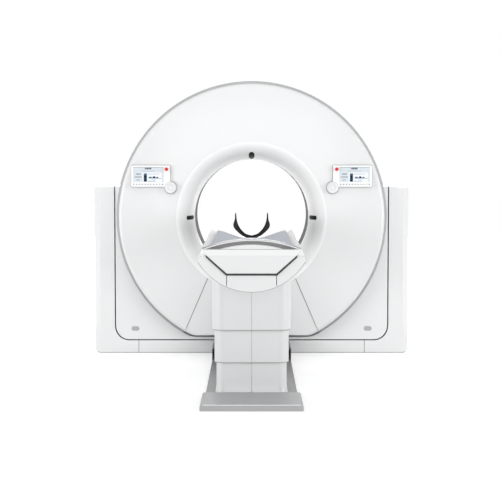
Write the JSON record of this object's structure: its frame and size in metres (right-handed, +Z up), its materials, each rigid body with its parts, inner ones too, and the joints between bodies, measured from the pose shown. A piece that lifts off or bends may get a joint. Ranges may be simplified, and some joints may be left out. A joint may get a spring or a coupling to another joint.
{
  "type": "ct scanner",
  "caption": "Ring-shaped imaging gantry with a wide flared bore, tilting between two floor towers, and a telescopic patient table whose cradle slides into the bore.",
  "frame": {"origin": "On the floor straight under the isocentre, where the bore axis and the tilt axis cross.", "axes": "+Z up, +Y along the bore from the table to the gantry's rear, +X to the right as seen from the table's foot end."},
  "size_m": [2.118, 3.173, 1.825],
  "materials": {
    "white_moulding": "satin",
    "grey_trim": "satin",
    "dark_wall": "satin",
    "black_glass": "gloss",
    "panel_white": "gloss",
    "display_glass": "gloss",
    "black_rubber": "matte",
    "plate_grey": "satin",
    "frame_steel": "satin",
    "machined_steel": "satin",
    "aluminium_case": "satin",
    "motor_black": "satin",
    "copper_coil": "satin",
    "carbon": "satin",
    "holder_black": "satin",
    "mattress_vinyl": "satin",
    "stop_red": "gloss",
    "knob_white": "satin",
    "lead_grey": "matte"
  },
  "bodies": {
    "floor_stand": {"base_frame": "frame_steel", "tilt_bearings": "machined_steel", "tilt_gearmotor": "motor_black", "left_tower_cover": "white_moulding", "right_tower_cover": "white_moulding", "front_beam_cover": "white_moulding", "rear_beam_cover": "white_moulding", "table_base_plate": "plate_grey", "foot_cover": "plate_grey", "floor_duct": "plate_grey", "lower_column_cover": "white_moulding", "lift_outer_tube": "machined_steel", "lift_motor": "motor_black"},
    "gantry": {"tilt_frame": "frame_steel", "bearing_outer_ring": "machined_steel", "drive_stator": "copper_coil", "housing_shell": "white_moulding", "corner_plugs": "black_rubber", "front_trim_ring": "grey_trim", "rear_trim_ring": "grey_trim", "front_cover": "white_moulding", "access_panel": "white_moulding", "rear_cover": "white_moulding", "front_funnel": "white_moulding", "rear_funnel": "white_moulding", "laser_windows": "black_glass", "scan_window": "dark_wall", "left_panel": "panel_white", "right_panel": "panel_white", "screens": "display_glass", "brush_block": "black_rubber"},
    "rotor": {"rotor_drum": "aluminium_case", "bearing_inner_ring": "machined_steel", "slip_ring": "copper_coil", "x_ray_tube": "aluminium_case", "heat_exchanger": "aluminium_case", "high_voltage_generator": "aluminium_case", "detector_arc": "aluminium_case", "counterweights": "lead_grey"},
    "column_stage": {"middle_column_cover": "white_moulding", "lift_middle_tube": "machined_steel"},
    "table_top": {"upper_column_cover": "white_moulding", "left_body_cover": "white_moulding", "right_body_cover": "white_moulding", "centre_body_cover": "white_moulding", "trough_liner": "black_rubber", "table_frame": "frame_steel", "cradle_drive": "motor_black", "lift_inner_tube": "machined_steel"},
    "cradle": {"cradle_shell": "carbon", "hull_cap": "white_moulding", "foot_hoop": "white_moulding", "mattress": "mattress_vinyl", "head_holder": "holder_black"},
    "left_knob": {"left_knob": "knob_white"},
    "left_knob_button": {"left_knob_button": "knob_white"},
    "left_emergency_stop": {"left_emergency_stop": "stop_red"},
    "right_knob": {"right_knob": "knob_white"},
    "right_knob_button": {"right_knob_button": "knob_white"},
    "right_emergency_stop": {"right_emergency_stop": "stop_red"}
  },
  "joints": [
    {"name": "gantry_tilt", "type": "hinge", "parent": "floor_stand", "child": "gantry", "pos_m": [0, 0, 0.921], "axis": [-1, 0, 0], "range_deg": [-30, 30]},
    {"name": "rotor_spin", "type": "hinge", "parent": "gantry", "child": "rotor", "pos_m": [0, 0, 0.921], "axis": [0, 1, 0], "continuous": true},
    {"name": "table_lift", "type": "slide", "parent": "floor_stand", "child": "table_top", "axis": [0, 0, 1], "range_m": [-0.35, 0.04]},
    {"name": "stage_lift", "type": "slide", "parent": "floor_stand", "child": "column_stage", "axis": [0, 0, 1], "range_m": [-0.141, 0.017]},
    {"name": "cradle_slide", "type": "slide", "parent": "table_top", "child": "cradle", "axis": [0, 1, 0], "range_m": [0, 1.6]},
    {"name": "left_knob_turn", "type": "hinge", "parent": "gantry", "child": "left_knob", "pos_m": [-0.537, -0.442, 1.119], "axis": [0, 1, 0], "continuous": true},
    {"name": "left_button_press", "type": "slide", "parent": "gantry", "child": "left_knob_button", "axis": [0, 1, 0], "range_m": [0, 0.003], "stiffness_N_per_m": 600},
    {"name": "left_stop_press", "type": "slide", "parent": "gantry", "child": "left_emergency_stop", "axis": [0, 1, 0], "range_m": [0, 0.004], "stiffness_N_per_m": 800},
    {"name": "right_knob_turn", "type": "hinge", "parent": "gantry", "child": "right_knob", "pos_m": [0.537, -0.442, 1.119], "axis": [0, 1, 0], "continuous": true},
    {"name": "right_button_press", "type": "slide", "parent": "gantry", "child": "right_knob_button", "axis": [0, 1, 0], "range_m": [0, 0.003], "stiffness_N_per_m": 600},
    {"name": "right_stop_press", "type": "slide", "parent": "gantry", "child": "right_emergency_stop", "axis": [0, 1, 0], "range_m": [0, 0.004], "stiffness_N_per_m": 800}
  ],
  "couplings": [
    {"joint": "stage_lift", "follows": "table_lift", "ratio": 0.4}
  ]
}
